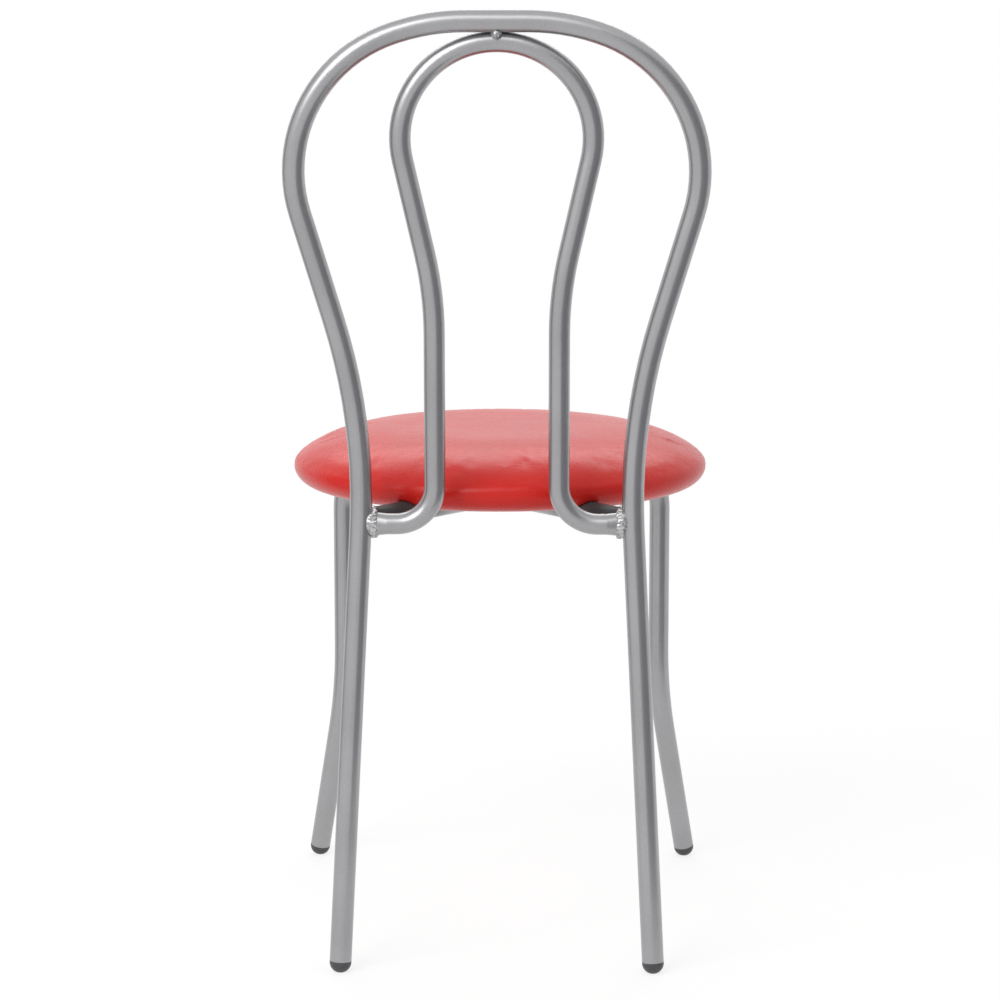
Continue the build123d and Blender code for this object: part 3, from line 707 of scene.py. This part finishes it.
class CHAIR_OT_welds(bpy.types.Operator):
    """Lay rippled beads over the welded joints"""
    bl_idname = "chair.welds"
    bl_label = "Lay the weld beads"

    def execute(self, context):
        settings = context.scene.chair_welds
        finish = painted_weld_bead(settings)
        leg = surface_of("rear_frame_tube")
        hoop_centre = rear_leg_at(HOOP_FOOT_HEIGHT)
        hoop_way = (HOOP_TOP - Vector((0, hoop_centre.y, hoop_centre.z))).normalized()
        brace_centre = rear_leg_at(FRONT_POST.z)
        for name, mirror in (("left", 1), ("right", -1)):
            across = Vector((mirror, 1, 1))
            centre = hoop_centre * across
            bead = weld_ring(f"hoop_foot_bead_{name}", leg, centre, Vector((-mirror, 0, 0)), hoop_way,
                             HOOP_RADIUS, settings, 3.0 + mirror)
            put(bead, "weld_bead", finish, f"hoop_foot_weld_{name}")
            centre = brace_centre * across
            post = FRONT_POST * Vector((-mirror, 1, 1))
            bead = weld_ring(f"brace_bead_{name}", leg, centre, (post - centre).normalized(),
                             Vector((0, 0, 1)), TUBE_RADIUS, settings, 8.0 + mirror)
            put(bead, "weld_bead", finish, f"brace_weld_{name}")
        low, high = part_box("hoop_top_weld")
        put(weld_drop("hoop_top_tack", low, high, settings, 2.0), "weld_bead", finish, "hoop_top_weld")
        low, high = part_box("cross_lap_weld")
        radius = (high.x - low.x) / 2
        for name, place, seed in (("front", low.y + radius, 5.0), ("rear", high.y - radius, 6.0)):
            centre = Vector(((low.x + high.x) / 2, place, (low.z + high.z) / 2))
            bead = weld_rod(f"cross_lap_bead_{name}", centre, Vector((0, 0, 1)), high.z - low.z,
                            radius, settings, seed)
            put(bead, "weld_bead", finish, "cross_lap_weld")
        return {"FINISHED"}


class CHAIR_OT_glides(bpy.types.Operator):
    """Finish the plastic glides in the leg ends"""
    bl_idname = "chair.glides"
    bl_label = "Finish the glides"

    def execute(self, context):
        dress(GLIDES, moulded_polyethylene(context.scene.chair_glides))
        return {"FINISHED"}


class CHAIR_OT_seat(bpy.types.Operator):
    """Draw the vinyl over the foam and hem it under the board"""
    bl_idname = "chair.seat"
    bl_label = "Upholster the seat"

    def execute(self, context):
        settings = context.scene.chair_seat
        low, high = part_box("seat_cover")
        seat = Vector(((low.x + high.x) / 2, (low.y + high.y) / 2, low.z + settings.roll_drop))
        piece = finished("seat_cushion", cushion_mesh(settings, seat))
        blown_up(piece, settings, seat.z + settings.board_top + 0.0005)
        worked(piece, settings, seat)
        pressed_over(piece, settings)
        put(piece, "seat_vinyl", embossed_leathercloth(settings), "seat_cover", "seat_foam")
        return {"FINISHED"}


class CHAIR_OT_board(bpy.types.Operator):
    """Finish the board under the seat and the fasteners that hold it"""
    bl_idname = "chair.board"
    bl_label = "Finish board and fasteners"

    def execute(self, context):
        settings = context.scene.chair_board
        dress(("seat_board",), sanded_birch_plywood(settings))
        dress(FASTENERS, zinc_plated_steel(settings))
        return {"FINISHED"}


class CHAIR_OT_stage(bpy.types.Operator):
    """Set up floor, background, soft lights and camera"""
    bl_idname = "chair.stage"
    bl_label = "Set the stage"

    def execute(self, context):
        settings = context.scene.chair_stage
        scene = context.scene
        scene.view_settings.view_transform = "Standard"
        self.floor(settings)
        self.world(scene, settings)
        self.lights(settings)
        self.flags(settings)
        data = bpy.data.cameras.new("camera")
        data.lens = settings.lens
        data.sensor_width = 36.0
        data.clip_end = 100.0
        camera = bpy.data.objects.new("camera", data)
        camera.location = settings.camera
        camera.rotation_euler = (pi / 2 - settings.pitch, 0, pi + settings.yaw)
        scene.collection.objects.link(camera)
        scene.camera = camera
        return {"FINISHED"}

    def floor(self, settings):
        """Seamless floor that looks as white as the background but keeps a faint shadow."""
        made, tree = blank("studio_paper")
        place = add(tree, "ShaderNodeTexCoord").outputs["Object"]
        away = add(tree, "ShaderNodeVectorMath", {0: place}, operation="LENGTH")
        far = add(tree, "ShaderNodeMapRange", {0: away.outputs["Value"], 1: 0.9, 2: 1.7})
        white = (*settings.floor, 1)
        glow = add(tree, "ShaderNodeEmission", {"Color": white, "Strength": settings.floor_glow})
        backdrop = add(tree, "ShaderNodeEmission", {"Color": white, "Strength": 1.0})
        faint = add(tree, "ShaderNodeBsdfDiffuse", {"Color": (*settings.floor_shaded, 1)})
        paper = add(tree, "ShaderNodeBsdfDiffuse", {"Color": (*settings.paper, 1)})
        near = add(tree, "ShaderNodeAddShader", {0: glow.outputs[0], 1: faint.outputs[0]})
        view = add(tree, "ShaderNodeMixShader", {
            0: far.outputs[0], 1: near.outputs[0], 2: backdrop.outputs[0]})
        mixed = add(tree, "ShaderNodeMixShader", {
            0: self.seen(tree), 1: paper.outputs[0], 2: view.outputs[0]})
        add(tree, "ShaderNodeOutputMaterial", {"Surface": mixed.outputs[0]})
        mesh = bmesh.new()
        bmesh.ops.create_grid(mesh, x_segments=8, y_segments=8, size=30.0)
        piece = finished("floor", mesh)
        piece.data.materials.append(made)

    def seen(self, tree):
        """One for rays that show the background: straight, mirrored or through glass."""
        path = add(tree, "ShaderNodeLightPath")
        either = add(tree, "ShaderNodeMath", {
            0: path.outputs["Is Camera Ray"], 1: path.outputs["Is Glossy Ray"]}, operation="MAXIMUM")
        either = add(tree, "ShaderNodeMath", {
            0: either.outputs[0], 1: path.outputs["Is Transmission Ray"]}, operation="MAXIMUM")
        return either.outputs[0]

    def world(self, scene, settings):
        """White background, and dimmer even light from it."""
        made = bpy.data.worlds.new("studio")
        made.use_nodes = True
        tree = made.node_tree
        tree.nodes.clear()
        white = (*settings.floor, 1)
        dim = add(tree, "ShaderNodeBackground", {"Color": white, "Strength": settings.daylight})
        bright = add(tree, "ShaderNodeBackground", {"Color": white, "Strength": 1.0})
        mixed = add(tree, "ShaderNodeMixShader", {
            0: self.seen(tree), 1: dim.outputs[0], 2: bright.outputs[0]})
        add(tree, "ShaderNodeOutputWorld", {"Surface": mixed.outputs[0]})
        scene.world = made

    def lights(self, settings):
        """Soft boxes: two above the camera, left and middle, and a long one behind the chair."""
        target = Vector((0, 0, 0.5))
        for name, place, width, height, power in (
            ("key", Vector((1.9, 2.5, 2.3)), 2.2, 2.2, settings.key),
            ("top", Vector((0.3, 2.6, 2.9)), 2.0, 1.6, settings.top),
            ("back", Vector((0.0, -2.4, 2.6)), 3.2, 1.2, settings.back),
        ):
            data = bpy.data.lights.new(name, "AREA")
            data.shape = "RECTANGLE"
            data.size = width
            data.size_y = height
            data.energy = power
            lamp = bpy.data.objects.new(name, data)
            lamp.location = place
            lamp.rotation_euler = (target - place).to_track_quat("-Z", "Y").to_euler()
            lamp.visible_camera = False
            bpy.context.scene.collection.objects.link(lamp)

    def flags(self, settings):
        """Grey cards that lean back beside the camera and give the bright tubes a dark side."""
        made, tree = blank("grey_card")
        card = add(tree, "ShaderNodeBsdfDiffuse", {"Color": (*settings.card, 1)})
        add(tree, "ShaderNodeOutputMaterial", {"Surface": card.outputs[0]})
        height = Vector((0, 0, 2.2))
        for name, turn, near, far, low_width, high_width in (
            ("grey_card_right", radians(-48), 0.75, 2.6, 0.9, 3.1),
            ("grey_card_left", radians(98), 0.9, 2.4, 0.25, 0.8),
        ):
            way = Vector((sin(turn), cos(turn), 0))
            aside = Vector((cos(turn), -sin(turn), 0))
            mesh = bmesh.new()
            mesh.faces.new([mesh.verts.new(point) for point in (
                way * near - aside * (low_width / 2), way * near + aside * (low_width / 2),
                way * far + aside * (high_width / 2) + height,
                way * far - aside * (high_width / 2) + height)])
            piece = finished(name, mesh)
            piece.data.materials.append(made)
            piece.visible_camera = False
            piece.visible_diffuse = False
            piece.visible_shadow = False


class CHAIR_PT_dressing(bpy.types.Panel):
    """Steps and settings of the chair's finish"""
    bl_idname = "CHAIR_PT_dressing"
    bl_label = "Cafe chair"
    bl_space_type = "VIEW_3D"
    bl_region_type = "UI"
    bl_category = "Chair"

    def draw(self, context):
        for operator, group in STEPS:
            box = self.layout.box()
            box.operator(operator.bl_idname)
            settings = getattr(context.scene, group)
            for name in settings.bl_rna.properties.keys():
                if name not in ("rna_type", "name"):
                    box.prop(settings, name)


GROUPS = {
    "chair_tubes": TubeSettings,
    "chair_welds": WeldSettings,
    "chair_glides": GlideSettings,
    "chair_seat": SeatSettings,
    "chair_board": BoardSettings,
    "chair_stage": StageSettings,
}
STEPS = (
    (CHAIR_OT_tubes, "chair_tubes"),
    (CHAIR_OT_welds, "chair_welds"),
    (CHAIR_OT_glides, "chair_glides"),
    (CHAIR_OT_seat, "chair_seat"),
    (CHAIR_OT_board, "chair_board"),
    (CHAIR_OT_stage, "chair_stage"),
)


def register():
    for name, group in GROUPS.items():
        bpy.utils.register_class(group)
        setattr(bpy.types.Scene, name, PointerProperty(type=group))
    for operator, _ in STEPS:
        bpy.utils.register_class(operator)
    bpy.utils.register_class(CHAIR_PT_dressing)


def unregister():
    bpy.utils.unregister_class(CHAIR_PT_dressing)
    for operator, _ in reversed(STEPS):
        bpy.utils.unregister_class(operator)
    for name, group in reversed(GROUPS.items()):
        delattr(bpy.types.Scene, name)
        bpy.utils.unregister_class(group)


def main():
    register()
    bpy.ops.chair.tubes()
    bpy.ops.chair.welds()
    bpy.ops.chair.glides()
    bpy.ops.chair.seat()
    bpy.ops.chair.board()
    bpy.ops.chair.stage()


if __name__ == "__main__":
    main()
